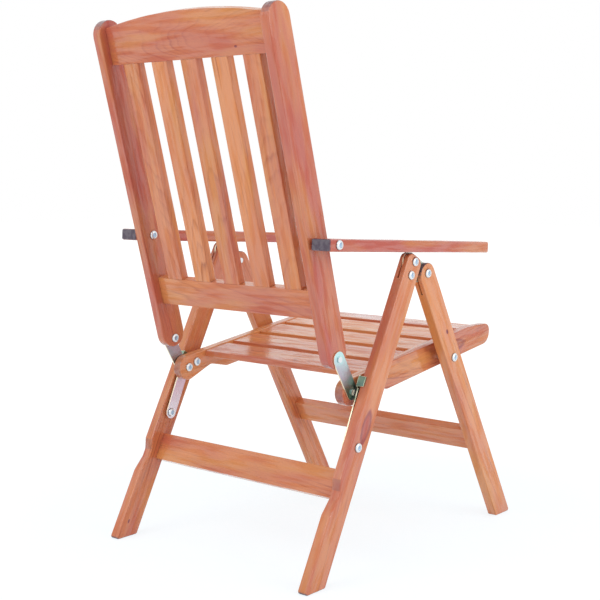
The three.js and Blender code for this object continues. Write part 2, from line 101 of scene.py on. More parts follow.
def add_node(tree, kind, inputs=(), output=0, **settings):
    """Adds a node with its settings, fills its inputs with values or links, and gives one output.

    A list of links all go into one input. With `output` None the node itself is given back.
    """
    made = tree.nodes.new(kind)
    for name, value in settings.items():
        setattr(made, name, value)
    for key, value in (inputs.items() if isinstance(inputs, dict) else enumerate(inputs)):
        if isinstance(value, list):
            for link in value:
                tree.links.new(link, made.inputs[key])
        elif isinstance(value, bpy.types.NodeSocket):
            tree.links.new(value, made.inputs[key])
        else:
            made.inputs[key].default_value = value
    return made if output is None else made.outputs[output]


def fill_ramp(ramp, stops):
    """Gives a colour ramp its stops, each a place and a linear colour."""
    elements = ramp.color_ramp.elements
    for place, colour in stops[1:-1]:
        elements.new(place)
    for element, (place, colour) in zip(elements, stops):
        element.position = place
        element.color = colour


def blank_material(name):
    """A new material with no nodes in it yet."""
    material = bpy.data.materials.new(name)
    material.use_nodes = True
    material.node_tree.nodes.clear()
    return material


def place_piece(made, body, replaced):
    """Hangs a finished piece on its body in place of the solids that it stands for."""
    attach(made, body)
    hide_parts(*replaced)


def object_of(name, mesh, material):
    """A new object in the scene, with this mesh and material."""
    mesh.materials.clear()
    mesh.materials.append(material)
    made = bpy.data.objects.new(name, mesh)
    bpy.context.scene.collection.objects.link(made)
    return made


def store(mesh, name, kind, domain, values):
    """Adds an attribute to a mesh and fills it."""
    attribute = mesh.attributes.new(name, kind, domain)
    attribute.data.foreach_set("vector" if kind == "FLOAT_VECTOR" else "value", values)


def mount_axis(name):
    """The direction that a flat face of the record looks in."""
    found = next(mount for mount in frame["record"]["mounts"] if mount["name"] == name)
    return Vector(found["axis"]).normalized()


def turned_sides(first, second, sine, cosine):
    """The two sides of a turned rectangle, from the sides of the upright box round it."""
    scale = cosine * cosine - sine * sine
    long_side = (second * cosine - first * sine) / scale
    short_side = (first * cosine - second * sine) / scale
    return long_side, short_side


# Sizes and colours that a user would change

def colour_property(name, description, code):
    """A colour that a user would change, with its default as an sRGB hex code."""
    return FloatVectorProperty(
        name=name, description=description, subtype="COLOR", size=4, default=linear(code),
    )


def length_property(name, description, default):
    """A length that a user would change, in metres."""
    return FloatProperty(name=name, description=description, default=default, unit="LENGTH")


class ArmchairBoardSizes(bpy.types.PropertyGroup):
    arris_round: length_property("Arris round", "Radius of the softened edges of the boards", 0.0021)
    slat_round: length_property("Slat round", "Radius of the softened edges of the slats", 0.0022)
    arris_steps: IntProperty(
        name="Arris steps", description="Facets across each softened edge", default=3,
    )
    ring_spacing: length_property("Ring spacing", "Distance between two growth rings of the pine", 0.0052)
    streak_width: length_property("Streak width", "Width of the soft streaks along the grain", 0.0046)
    fibre_width: length_property(
        "Fibre width", "Width of the fine lines along the grain, coarser than real fibres so that they show",
        0.0013,
    )
    stain_patch: length_property(
        "Stain patch", "Width of the patches where the stain took more or less", 0.055,
    )


class ArmchairFastenerSizes(bpy.types.PropertyGroup):
    head_radius: length_property("Head radius", "Radius of a bolt's domed head", 0.0093)
    head_height: length_property("Head height", "Height of a bolt's domed head", 0.0042)
    socket_depth: length_property("Socket depth", "Depth of the recess in a head", 0.0019)
    shank_radius: length_property("Shank radius", "Radius of a bolt's shank", 0.003)
    tail_radius: length_property("Tail radius", "Radius of the flat head at a rivet's far end", 0.006)
    tail_height: length_property("Tail height", "Height of the flat head at a rivet's far end", 0.0024)
    plate_round: length_property("Plate round", "Radius of the eased edges of plates and washers", 0.0005)


class ArmchairColours(bpy.types.PropertyGroup):
    early_wood: colour_property("Early wood", "The pale, broad part of each ring under the stain", "e1905b")
    late_wood: colour_property("Late wood", "The dark, narrow part of each ring under the stain", "94401f")
    rosy_stain: colour_property("Rosy stain", "Where the stain took up more red", "bf5c4e")
    straw_stain: colour_property("Straw stain", "Where the stain lies thin over yellow wood", "dc9850")
    end_wood: colour_property("End grain", "End grain, which drinks the stain and turns slate", "4a495a")
    knot_wood: colour_property("Knots", "The heart of a knot and the rim round it", "6e2634")
    zinc: colour_property("Zinc", "Bright zinc plating", "e6ebee")
    # Painted shadow: the dark grey at the foot of each head, where it meets the wood or plate
    painted_foot_shadow: colour_property("Dull zinc", "The dull plating at the foot of a head", "3c4248")
    # Painted highlight: the pale cream on the cut edges of the plates, where they catch the light
    painted_edge_highlight: colour_property("Cut edge", "The straw tint on the cut edges of the plates", "fbf1d2")
    # Painted shade: the darker pale blue on the floor of each head's recess, where shade falls
    socket: colour_property("Socket", "The bluish plating inside the heads' recesses", "a8c0d8")
    # Painted shade: a faint cool grey on the floor under and near the chair, fading to white farther out
    floor_near: colour_property("Floor near", "The pale floor under the chair", "f7fcff")
    floor_far: colour_property("Floor far", "The white floor and backdrop farther out", "ffffff")


class ArmchairStage(bpy.types.PropertyGroup):
    camera_place: FloatVectorProperty(
        name="Camera place", description="Where the camera stands", subtype="TRANSLATION",
        unit="LENGTH", default=(-1.6651, 1.9880, 0.7996),
    )
    camera_turn: FloatVectorProperty(
        name="Camera turn", description="Which way the camera looks", subtype="EULER",
        unit="ROTATION", default=(math.radians(84.759), math.radians(0.049), math.radians(220.095)),
    )
    focal_length: FloatProperty(
        name="Focal length", description="Focal length of the lens, in millimetres", default=71.83,
    )
    camera_shift: FloatVectorProperty(
        name="Camera shift", size=2, default=(-0.0092, -0.0427),
        description="How far the picture lies off the lens's middle, as the photograph is cut",
    )
    key_place: FloatVectorProperty(
        name="Key place", description="Where the key light hangs", subtype="TRANSLATION",
        unit="LENGTH", default=(0.7, 2.9, 2.7),
    )
    key_power: FloatProperty(
        name="Key light", description="Power of the large soft light behind the camera's left",
        default=27.0, unit="POWER",
    )
    fill_place: FloatVectorProperty(
        name="Fill place", description="Where the fill light hangs", subtype="TRANSLATION",
        unit="LENGTH", default=(-3.1, -0.5, 1.6),
    )
    fill_power: FloatProperty(
        name="Fill light", description="Power of the large soft light beside the chair",
        default=25.0, unit="POWER",
    )
    lamp_width: length_property("Lamp width", "Width of each soft light", 1.9)
    sky_strength: FloatProperty(
        name="Sky strength", description="Strength of the even light from all round", default=0.34,
    )
    zenith_strength: FloatProperty(
        name="Zenith strength", description="Strength of that light from straight above", default=1.0,
    )
    shadow_share: FloatProperty(
        name="Shadow share", subtype="FACTOR", default=0.28,
        description="How much of the floor's whiteness comes from the lights, and so takes shadows",
    )
    floor_glow: FloatProperty(
        name="Floor glow", default=1.13,
        description="Strength of the white that the floor shows to the camera",
    )
    floor_half: length_property("Floor half", "Half the width of the floor", 12.0)


# Finishes

# The middle value of every noise, and the detail that most of them have
NOISE_MIDDLE = 0.5
NOISE_DETAIL = 2.0

# Shares of the growth ring, and how dark the wood is there
RING_RAMP = ((0.0, 0.0), (0.5, 0.16), (0.82, 1.0), (0.92, 0.5), (1.0, 0.0))
# How much darker one ring is than another by chance, and how dark each is at least
RING_WEIGHT = (0.54, 0.1)
# Widths of the two waves that bend the rings, and how many rings each of them moves
SLOW_WAVE, QUICK_WAVE = 0.045, 0.008
SLOW_RINGS, QUICK_RINGS = 5.0, 0.4
# How strongly fibres, streaks and patches of stain darken the wood
FIBRE_DARK, STREAK_DARK, PATCH_DARK = 0.9, 0.75, 0.75
# Width of the straw patches, as a share of the other patches
STRAW_SHARE = 0.6
# Keeps the two directions across the grain and drops the one along it
ACROSS = (1.0, 1.0, 0.0)
# How ragged a knot's outline is, and how red and how dark its rim is
KNOT_RAGGED, RIM_RED, RIM_DARK = 0.9, 0.8, 0.5
# How deep the fibres lie in the wood's relief and in the varnish, beside its other unevenness
FIBRE_RELIEF, FIBRE_RIPPLE = 0.8, 0.4

# Each span turns a value between its first two numbers into one between its last two: how far a knot
# bends the rings, its heart and its rim, how the rings fade in patches, how red, straw or slate the stain
# is, how rough the wood and the plating are, and how thick the varnish lies
KNOT_SWELL = (0.0, 2.4, 4.4, 0.0)
KNOT_HEART = (0.6, 1.0, 1.0, 0.0)
KNOT_RIM = (1.0, 1.4, 1.0, 0.0)
RING_FADE = (0.36, 0.64, 0.25, 1.0)
RED_SPAN = (0.38, 0.66, 0.0, 0.6)
STRAW_SPAN = (0.48, 0.7, 0.0, 0.45)
END_SPAN = (0.25, 0.8, 0.0, 0.95)
ROUGH_SPAN = (0.3, 0.7, 0.26, 0.42)
VARNISH_SPAN = (0.4, 0.54, 0.2, 1.0)


def varnished_pine():
    """Planed pine, stained orange-brown and brushed with clear varnish.

    The stain leaves the late wood as darker lines along the boards, and as arches where a ring is cut
    at a slant. It takes unevenly, so a board drifts from straw to rose. The varnish gives a soft gloss,
    pale light along the rounded arrises and a whitish sheen on faces seen at a low angle. It follows
    the fibres as fine ripples, which draw its reflections out into streaks.
    """
    name = "stained_varnished_pine"
    if name in bpy.data.materials:
        return bpy.data.materials[name]
    sizes = bpy.context.scene.armchair_boards
    colours = bpy.context.scene.armchair_colours
    material = blank_material(name)
    node = partial(add_node, material.node_tree)

    grain, fibres, knot = (
        node("ShaderNodeAttribute", output="Vector", attribute_name=label)
        for label in ("grain", "fibre", "knot")
    )
    tone, rose, end = (
        node("ShaderNodeAttribute", output="Fac", attribute_name=label)
        for label in ("board_tone", "board_rose", "end_grain")
    )

    def drawn_out(width, share, detail=NOISE_DETAIL, shift=0.0):
        """A noise drawn out along the board, where only a share of the length counts."""
        stretch = (fibres, (1.0, 1.0, share), (shift, shift, shift))
        place = node("ShaderNodeVectorMath", stretch, operation="MULTIPLY_ADD")
        return node("ShaderNodeTexNoise", {"Vector": place, "Scale": 1.0 / width, "Detail": detail})

    def from_middle(place):
        """How far a place lies from the middle, seen along the grain."""
        flat = node("ShaderNodeVectorMath", (place, ACROSS), operation="MULTIPLY")
        return node("ShaderNodeVectorMath", (flat,), output="Value", operation="LENGTH")

    slow = drawn_out(SLOW_WAVE, share=0.12, detail=1.5)
    quick = drawn_out(QUICK_WAVE, share=0.1)
    streak = drawn_out(sizes.streak_width, share=0.035)
    fibre = drawn_out(sizes.fibre_width, share=0.025, detail=3.0)
    patch = drawn_out(sizes.stain_patch, share=0.3)
    red_patch = drawn_out(sizes.stain_patch, share=0.22, shift=3.1)
    straw_patch = drawn_out(STRAW_SHARE * sizes.stain_patch, share=0.18, shift=7.7)

    # Rings lie round the heart of the log and bend round a knot
    rings = node("ShaderNodeMath", (from_middle(grain), sizes.ring_spacing), operation="DIVIDE")
    for wave, moved in ((slow, SLOW_RINGS), (quick, QUICK_RINGS)):
        rings = node("ShaderNodeMath", (wave, moved, rings), operation="MULTIPLY_ADD")
    ragged = node("ShaderNodeMath", (quick, NOISE_MIDDLE), operation="SUBTRACT")
    reach = node("ShaderNodeMath", (ragged, KNOT_RAGGED, from_middle(knot)), operation="MULTIPLY_ADD")
    swell, inside, rim = (
        node("ShaderNodeMapRange", (reach, *span), interpolation_type="SMOOTHSTEP")
        for span in (KNOT_SWELL, KNOT_HEART, KNOT_RIM)
    )
    rings = node("ShaderNodeMath", (rings, swell), operation="ADD")

    # Each ring has its own weight, and all fade in patches
    phase = node("ShaderNodeMath", (rings,), operation="FRACT")
    ring_ramp = node("ShaderNodeValToRGB", {"Fac": phase}, output=None)
    fill_ramp(ring_ramp, [(place, (dark, dark, dark, 1.0)) for place, dark in RING_RAMP])
    number = node("ShaderNodeMath", (rings,), operation="FLOOR")
    chance = node("ShaderNodeTexWhiteNoise", {"W": number}, noise_dimensions="1D")
    weight = node("ShaderNodeMath", (chance, *RING_WEIGHT), operation="MULTIPLY_ADD")
    fade = node("ShaderNodeMapRange", (patch, *RING_FADE))
    weight = node("ShaderNodeMath", (weight, fade), operation="MULTIPLY")
    late = node("ShaderNodeMath", (ring_ramp.outputs["Color"], weight, tone), operation="MULTIPLY_ADD")
    for noise, strength in ((fibre, FIBRE_DARK), (streak, STREAK_DARK), (patch, PATCH_DARK)):
        even = node("ShaderNodeMath", (noise, NOISE_MIDDLE), operation="SUBTRACT")
        late = node("ShaderNodeMath", (even, strength, late), operation="MULTIPLY_ADD")
    late = node("ShaderNodeClamp", (late,))

    red = node("ShaderNodeMapRange", (red_patch, *RED_SPAN))
    red = node("ShaderNodeMath", (red, rose), operation="ADD")
    red = node("ShaderNodeMath", (rim, RIM_RED, red), operation="MULTIPLY_ADD", use_clamp=True)
    straw = node("ShaderNodeMapRange", (straw_patch, *STRAW_SPAN))
    strong = node("ShaderNodeSeparateXYZ", (knot,), output="Z")
    heart = node("ShaderNodeMath", (inside, strong), operation="MULTIPLY")
    rim = node("ShaderNodeMath", (rim, inside), operation="SUBTRACT")
    heart = node("ShaderNodeMath", (rim, RIM_DARK, heart), operation="MULTIPLY_ADD")
    end_share = node("ShaderNodeMapRange", (end, *END_SPAN))
    colour = tuple(colours.early_wood)
    for share, tint in (
        (late, colours.late_wood), (red, colours.rosy_stain), (straw, colours.straw_stain),
        (heart, colours.knot_wood), (end_share, colours.end_wood),
    ):
        colour = node("ShaderNodeMix", {0: share, 6: colour, 7: tuple(tint)}, output=2, data_type="RGBA")

    relief = node("ShaderNodeMath", (fibre, FIBRE_RELIEF, late), operation="MULTIPLY_ADD")
    bump = node("ShaderNodeBump", {"Height": relief, "Strength": 0.8, "Distance": 0.0004})
    ripple = node("ShaderNodeMath", (fibre, FIBRE_RIPPLE, quick), operation="MULTIPLY_ADD")
    ripple = node("ShaderNodeBump", {"Height": ripple, "Strength": 0.7, "Distance": 0.0008})
    rough = node("ShaderNodeMapRange", (streak, *ROUGH_SPAN))
    varnish = node("ShaderNodeMapRange", (quick, *VARNISH_SPAN))
    shader = node("ShaderNodeBsdfPrincipled", {
        "Base Color": colour, "Roughness": rough, "Normal": bump, "IOR": 1.5, "Specular IOR Level": 0.22,
        "Coat Weight": varnish, "Coat Roughness": 0.08, "Coat IOR": 1.6, "Coat Normal": ripple,
    })
    node("ShaderNodeOutputMaterial", {"Surface": shader}, output=None)
    return material


# The tints of the passivated plating from one end of a piece to the other, and how strongly it shows them
FILMS = {
    "zinc_plated_steel": (("dfe6ea", "e9edef", "e2e4e2"), 0.4),
    "lilac_zinc_plate": (("e4e0ea", "dcc3d4", "8fae9a"), 1.0),
    "green_zinc_plate": (("6f9484", "bdb6c6", "c2e8ea"), 1.0),
    "grey_zinc_plate": (("b4c4b8", "c9d2c6", "cfc9c0"), 0.9),
}
# Where these tints lie between the two ends, and how they waver: over about 25 mm, and this strongly
FILM_PLACES = (0.12, 0.55, 0.88)
WAVERS_PER_METRE = 40.0
WAVER_REACH = 0.5
# The flecks of the plating are about 1 mm wide, coarser than the real ones so that they show
FLECKS_PER_METRE = 900.0
# How strongly the painted contact shadow darkens the foot of a head
FOOT_SHARE = 0.7


def zinc_plate(name):
    """Pressed steel, zinc-plated and passivated.

    The passivation ran down the hanging pieces and left thin-film tints on the bright metal, lilac,
    pale blue or green, that drift from one end to the other. A pale cream painted highlight lies on the
    cut edges, a pale blue painted shade in the recess of a bolt's head, and a dark grey painted contact
    shadow at the foot of the head.
    """
    if name in bpy.data.materials:
        return bpy.data.materials[name]
    tints, tint_share = FILMS[name]
    colours = bpy.context.scene.armchair_colours
    material = blank_material(name)
    node = partial(add_node, material.node_tree)

    place = node("ShaderNodeTexCoord", output="Object")
    along, rim, recess, foot = (
        node("ShaderNodeAttribute", output="Fac", attribute_name=label)
        for label in ("film", "rim", "recess", "foot")
    )
    waver, fleck = (
        node("ShaderNodeTexNoise", {"Vector": place, "Scale": scale, "Detail": NOISE_DETAIL})
        for scale in (WAVERS_PER_METRE, FLECKS_PER_METRE)
    )
    waver = node("ShaderNodeMath", (waver, NOISE_MIDDLE), operation="SUBTRACT")
    along = node("ShaderNodeMath", (waver, WAVER_REACH, along), operation="MULTIPLY_ADD")
    film = node("ShaderNodeValToRGB", {"Fac": along}, output=None)
    fill_ramp(film, [(at, linear(code)) for at, code in zip(FILM_PLACES, tints)])
    # The narrow cut edges take a painted highlight, as strong as the plating's tints
    rim = node("ShaderNodeMath", (rim, tint_share), operation="MULTIPLY")
    # The foot of each head takes a painted contact shadow
    foot = node("ShaderNodeMath", (foot, FOOT_SHARE), operation="MULTIPLY")
    colour = tuple(colours.zinc)
    # The floor of each head's recess takes a painted pale blue shade
    for share, tint in (
        (tint_share, film.outputs["Color"]), (rim, tuple(colours.painted_edge_highlight)),
        (recess, tuple(colours.socket)), (foot, tuple(colours.painted_foot_shadow)),
    ):
        colour = node("ShaderNodeMix", {0: share, 6: colour, 7: tint}, output=2, data_type="RGBA")
    rough = node("ShaderNodeMapRange", (fleck, *ROUGH_SPAN))
    bump = node("ShaderNodeBump", {"Height": fleck, "Strength": 0.1, "Distance": 0.0001})
    shader = node("ShaderNodeBsdfPrincipled", {
        "Base Color": colour, "Metallic": 1.0, "Roughness": rough, "Normal": bump,
    })
    node("ShaderNodeOutputMaterial", {"Surface": shader}, output=None)
    return material


# Boards: a copy of the solid with its long arrises softened, and the grain laid along it

# A run of sharp edges longer than this share of its board goes round the board, and not round a hole
LONG_SHARE = 0.6
# Holes whose middles match to this many digits of a metre share one cut
CUT_DIGITS = 3
# A board whose long side looks across the chair by more than this has tenons, which keep their sharp
# edges over this length
CROSSWISE = 0.9
TENON_REACH = 0.016
# How far along its log a board may start
LOG_LENGTH = 9.0

# Where a board lay in its log: how far the heart lies from the board's middle, across its face and behind
# it, and how the grain drifts across the face and dives into it. Then how dark and how red the board is,
# how both change along it, how much its ends drink the stain, and how many times the arris round it has.
Grain = namedtuple("Grain", "across deep drift dive tone tone_slope rose rose_slope ends round")
GRAINS = {
    "crest_rail": Grain(0.004, 0.068, 0.05, 0.25, 0.06, 0.0, 0.2, 0.1, 0.5, 1.0),
    "lower_back_rail": Grain(0.02, 0.08, 0.05, 0.06, 0.08, 0.0, 0.1, 0.1, 0.5, 1.0),
    "rear_stretcher": Grain(0.055, 0.03, 0.04, 0.03, 0.02, 0.3, 0.1, 0.1, 0.5, 1.0),
    "front_stretcher": Grain(0.05, 0.06, 0.03, 0.03, -0.32, 0.0, -0.15, 0.1, 0.5, 1.0),
    "back_post_left": Grain(0.09, 0.04, 0.02, 0.02, 0.27, -0.1, 0.35, 0.2, 0.7, 1.0),
    "back_post_right": Grain(0.07, 0.05, 0.02, 0.02, 0.06, -0.6, 0.38, -0.6, 0.7, 1.0),
    "rear_leg_left": Grain(0.05, 0.06, 0.03, 0.03, -0.02, 0.0, 0.3, 0.2, 1.0, 1.4),
    "rear_leg_right": Grain(0.02, 0.07, 0.02, 0.02, -0.3, -0.4, 0.2, -0.5, 1.0, 1.4),
    "front_leg_left": Grain(0.08, 0.04, 0.03, 0.02, 0.04, 0.0, 0.15, 0.1, 1.0, 1.2),
    "front_leg_right": Grain(0.06, 0.06, 0.03, 0.02, -0.14, 0.0, -0.1, -0.5, 1.0, 1.2),
    "seat_rail_left": Grain(0.04, 0.05, 0.06, 0.05, -0.05, 0.0, -0.3, 0.6, 0.5, 1.2),
    "seat_rail_right": Grain(0.02, 0.05, 0.09, 0.08, 0.18, 0.0, 0.1, 0.3, 0.5, 1.2),
    "armrest_left": Grain(0.08, 0.03, 0.02, 0.02, 0.1, 0.0, 0.6, 0.0, 1.0, 1.9),
    "armrest_right": Grain(0.08, 0.04, 0.02, 0.02, 0.0, 0.0, 0.75, 0.2, 1.0, 1.9),
}

# Knots seen on the boards: place along and across from the board's middle, half width and half length,
# and how dark the heart is
KNOTS = {
    "rear_leg_right": (-0.019, -0.007, 0.01, 0.03, 0.12),
    "front_leg_right": (0.17, 0.0, 0.003, 0.0045, 0.9),
    "rear_leg_left": (-0.315, 0.004, 0.002, 0.004, 0.9),
    "seat_rail_right": (-0.13, 0.004, 0.011, 0.03, 0.25),
    "crest_rail": (-0.13, -0.03, 0.002, 0.003, 0.8),
}
# What a board without a knot stores: a place far from any
FAR_FROM_KNOTS = (9.0, 9.0, 0.0)


def board_axes(mesh):
    """The board's middle and its directions along, across and through it, longest first."""
    places = numpy.array([vertex.co for vertex in mesh.vertices])
    middle = (places.min(axis=0) + places.max(axis=0)) / 2
    spread = numpy.cov((places - places.mean(axis=0)).T)
    values, directions = numpy.linalg.eigh(spread)
    order = numpy.argsort(values)[::-1]
    axes = [Vector(directions[:, index]) for index in order]
    axes = [axis if max(axis, key=abs) > 0 else -axis for axis in axes]
    return Vector(middle), axes


def lay_grain(mesh, middle, axes, grain, knot):
    """Stores where each point lies among the rings of its log and along its fibres, how far a knot is,
    and which faces are end grain.
    """
    start = random.Random(mesh.name).uniform(0.0, LOG_LENGTH)
    places, fibres, knots, tones, roses = [], [], [], [], []
    for vertex in mesh.vertices:
        reach = vertex.co - middle
        length, width, depth = (reach.dot(axis) for axis in axes)
        places.extend((
            width - grain.across - grain.drift * length,
            depth - grain.deep - grain.dive * length,
            length + start,
        ))
        fibres.extend((width, depth, length + start))
        tones.append(grain.tone + grain.tone_slope * length)
        roses.append(grain.rose + grain.rose_slope * length)
        if knot is None:
            knots.extend(FAR_FROM_KNOTS)
        else:
            knot_along, knot_across, half_wide, half_long, heart = knot
            knots.extend(((width - knot_across) / half_wide, (length - knot_along) / half_long, heart))
    for label, values in (("grain", places), ("fibre", fibres), ("knot", knots)):
        store(mesh, label, "FLOAT_VECTOR", "POINT", values)
    for label, values in (("board_tone", tones), ("board_rose", roses)):
        store(mesh, label, "FLOAT", "POINT", values)
    ends = [grain.ends * abs(face.normal.dot(axes[0])) for face in mesh.polygons]
    store(mesh, "end_grain", "FLOAT", "FACE", ends)


def reach_of(places):
    """The longest side of the upright box round some points."""
    return max(max(p[axis] for p in places) - min(p[axis] for p in places) for axis in range(3))


def sharp_runs(shape, skip, long):
    """The sharp edges that touch, run by run.

    The long runs go round the board itself, and the others round its holes, slots and mortises.
    """
    long_reach = LONG_SHARE * reach_of([vertex.co for vertex in shape.verts])
    # The keys of a dict keep their order, which a set of edges doesn't, and so the result is always the same
    sharp = dict.fromkeys(
        edge for edge in shape.edges
        if len(edge.link_faces) == 2 and edge.calc_face_angle() > ARRIS_ANGLE and not skip(edge)
    )
    runs = []
    while sharp:
        run = [sharp.popitem()[0]]
        for edge in run:
            for vertex in edge.verts:
                for other in vertex.link_edges:
                    if other in sharp:
                        del sharp[other]
                        run.append(other)
        if (reach_of([vertex.co for edge in run for vertex in edge.verts]) > long_reach) == long:
            runs.append(run)
    return runs


def merge_flat(shape, kept=()):
    """Merges the triangles of each flat face, but not across the kept borders."""
    bmesh.ops.dissolve_limit(
        shape, angle_limit=FLAT_ANGLE, verts=shape.verts, edges=shape.edges, delimit=set(kept),
    )


def split_at_holes(shape, along, skip):
    """Cuts the faces square across the board through the middle of each hole.

    Without the cut, a face with a hole keeps thin slivers that reach its corners and spoil the rounding.
    """
    middles = [
        sum(vertex.co.dot(along) for edge in run for vertex in edge.verts) / (2 * len(run))
        for run in sharp_runs(shape, skip, long=False)
    ]
    for middle in sorted({round(middle, CUT_DIGITS) for middle in middles}):
        cut = bmesh.ops.bisect_plane(
            shape, geom=[*shape.verts, *shape.edges, *shape.faces], plane_co=along * middle, plane_no=along,
        )
        for item in cut["geom_cut"]:
            if isinstance(item, bmesh.types.BMEdge):
                item.seam = True
    merge_flat(shape, ["SEAM"])


def soften(mesh, chosen, round_off, steps):
    """Merges the loose triangles of a solid and rounds the edges that `chosen` picks from it."""
    shape = bmesh.new()
    shape.from_mesh(mesh)
    bmesh.ops.remove_doubles(shape, verts=shape.verts, dist=MERGE_REACH)
    merge_flat(shape)
    bmesh.ops.bevel(
        shape, geom=chosen(shape), offset=round_off, offset_type="OFFSET",
        segments=steps, profile=0.5, affect="EDGES", clamp_overlap=False, loop_slide=False,
    )
    shape.to_mesh(mesh)
    shape.free()
    shade(mesh, SMOOTH_ANGLE)


def shade(mesh, angle):
    """Shades a mesh as smooth up to this angle between its faces."""
    mesh.shade_smooth()
    mesh.set_sharp_from_angle(angle=angle)


def weigh_normals(made):
    """Keeps the broad faces flat where they meet the rounded arrises."""
    weighted = made.modifiers.new("Weighted normals", "WEIGHTED_NORMAL")
    weighted.keep_sharp = True


def dress_board(name):
    """Stands a softened, grained copy of one board in place of its solid."""
    sizes = bpy.context.scene.armchair_boards
    mesh = frame["nodes"][name].data.copy()
    mesh.name = name + "_board"
    middle, axes = board_axes(mesh)
    half = max(abs(corner.x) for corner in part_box(name))
    has_tenons = axes[0].x > CROSSWISE

    def skip(edge):
        """Passes over the edges of the tenons, which the timber beside the board hides."""
        return has_tenons and min(abs(vertex.co.x) for vertex in edge.verts) > half - TENON_REACH

    def arrises(shape):
        """The edges that go round the board itself."""
        split_at_holes(shape, axes[0], skip)
        return [edge for run in sharp_runs(shape, skip, long=True) for edge in run]

    grain = GRAINS[name]
    soften(mesh, arrises, grain.round * sizes.arris_round, sizes.arris_steps)
    lay_grain(mesh, middle, axes, grain, KNOTS.get(name))
    made = object_of(name + "_board", mesh, varnished_pine())
    weigh_normals(made)
    place_piece(made, BODY_OF[name], [name])


# Rows of slats by Geometry Nodes

SLAT_ROUND_STEPS = 4
# How strongly the slats' ends drink the stain
SLAT_ENDS = 0.6
# Where a slat may lie in its log, across, deep and along, and how far the grain may drift and dive in it
LOG_DRAWS = (
    ("log_place", (-0.05, 0.03, 0.0), (0.01, 0.06, LOG_LENGTH)),
    ("log_slant", (-0.04, 0.03, 0.0), (0.04, 0.16, 0.0)),
)
# How far a slat's tone and redness may lie to either side of the row's own
TINT_DRAWS = (("board_tone", "Darkness", 0.12), ("board_rose", "Redness", 0.27))

SLAT_INPUTS = (
    ("Count", "NodeSocketInt", 5),
    ("Start", "NodeSocketVector", (0.0, 0.0, 0.0)),
    ("Step", "NodeSocketVector", (0.1, 0.0, 0.0)),
    ("Length", "NodeSocketFloat", 0.4),
    ("Width", "NodeSocketFloat", 0.04),
    ("Thickness", "NodeSocketFloat", 0.015),
    ("Arris round", "NodeSocketFloat", 0.003),
    ("Turn", "NodeSocketVector", (0.0, 0.0, 0.0)),
    ("Last turn", "NodeSocketVector", (0.0, 0.0, 0.0)),
    ("Darkness", "NodeSocketFloat", 0.0),
    ("Redness", "NodeSocketFloat", 0.0),
    ("Seed", "NodeSocketInt", 1),
    ("Material", "NodeSocketMaterial", None),
)


def start_tree(name, inputs):
    """A Geometry Nodes tree with its named inputs, and their sockets."""
    tree = bpy.data.node_groups.new(name, "GeometryNodeTree")
    tree.is_modifier = True
    tree.interface.new_socket("Geometry", in_out="INPUT", socket_type="NodeSocketGeometry")
    for label, kind, default in inputs:
        socket = tree.interface.new_socket(label, in_out="INPUT", socket_type=kind)
        if default is not None:
            socket.default_value = default
    tree.interface.new_socket("Geometry", in_out="OUTPUT", socket_type="NodeSocketGeometry")
    return tree, add_node(tree, "NodeGroupInput", output=None).outputs


